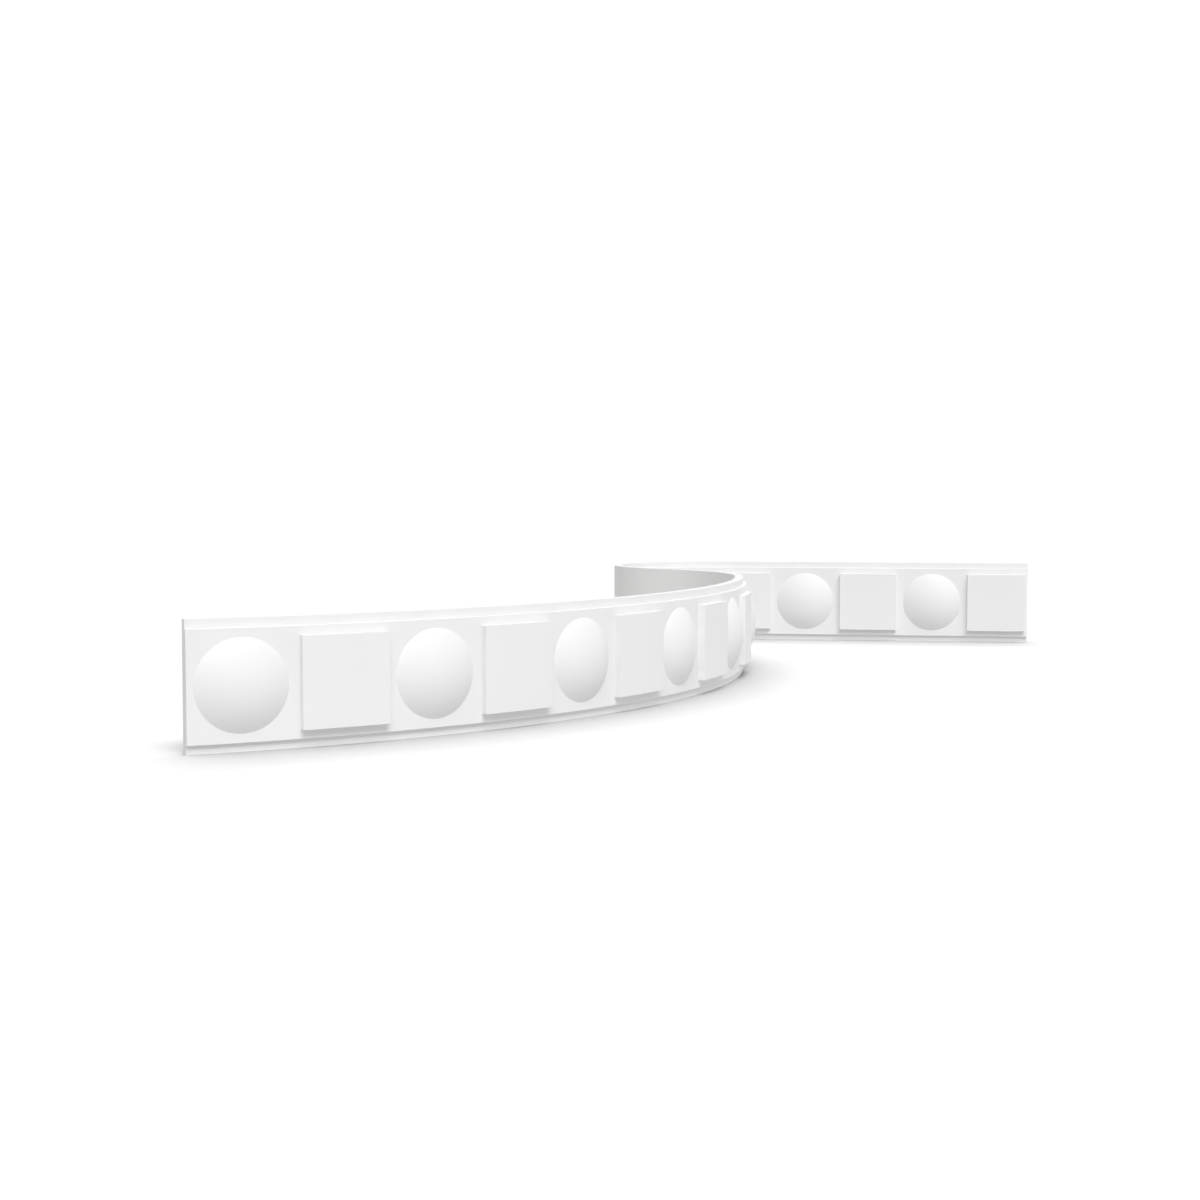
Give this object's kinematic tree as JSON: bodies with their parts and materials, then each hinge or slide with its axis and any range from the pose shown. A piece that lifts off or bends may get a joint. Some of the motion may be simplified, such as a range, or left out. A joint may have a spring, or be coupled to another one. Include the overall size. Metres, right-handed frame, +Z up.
{
  "type": "flexible dado rail",
  "caption": "Flexible wall rail cast in one piece: a flat stepped strip with shallow domes and square blocks in turn, bent in a swan-neck plan.",
  "frame": {"origin": "middle of the plan's bounding box, on the level of the lower edge that the rail stands on", "axes": "+Z up; +X along the straight stretch towards its cut right end; the face with the ornament looks to -Y on that stretch and the back face to +Y"},
  "size_m": [0.7742, 1.289, 0.1136],
  "materials": {
    "white_primer": "smooth factory-primed white, satin-matt, on flexible polyurethane"
  },
  "bodies": {
    "root": {"dado_rail": "white_primer"}
  },
  "joints": []
}
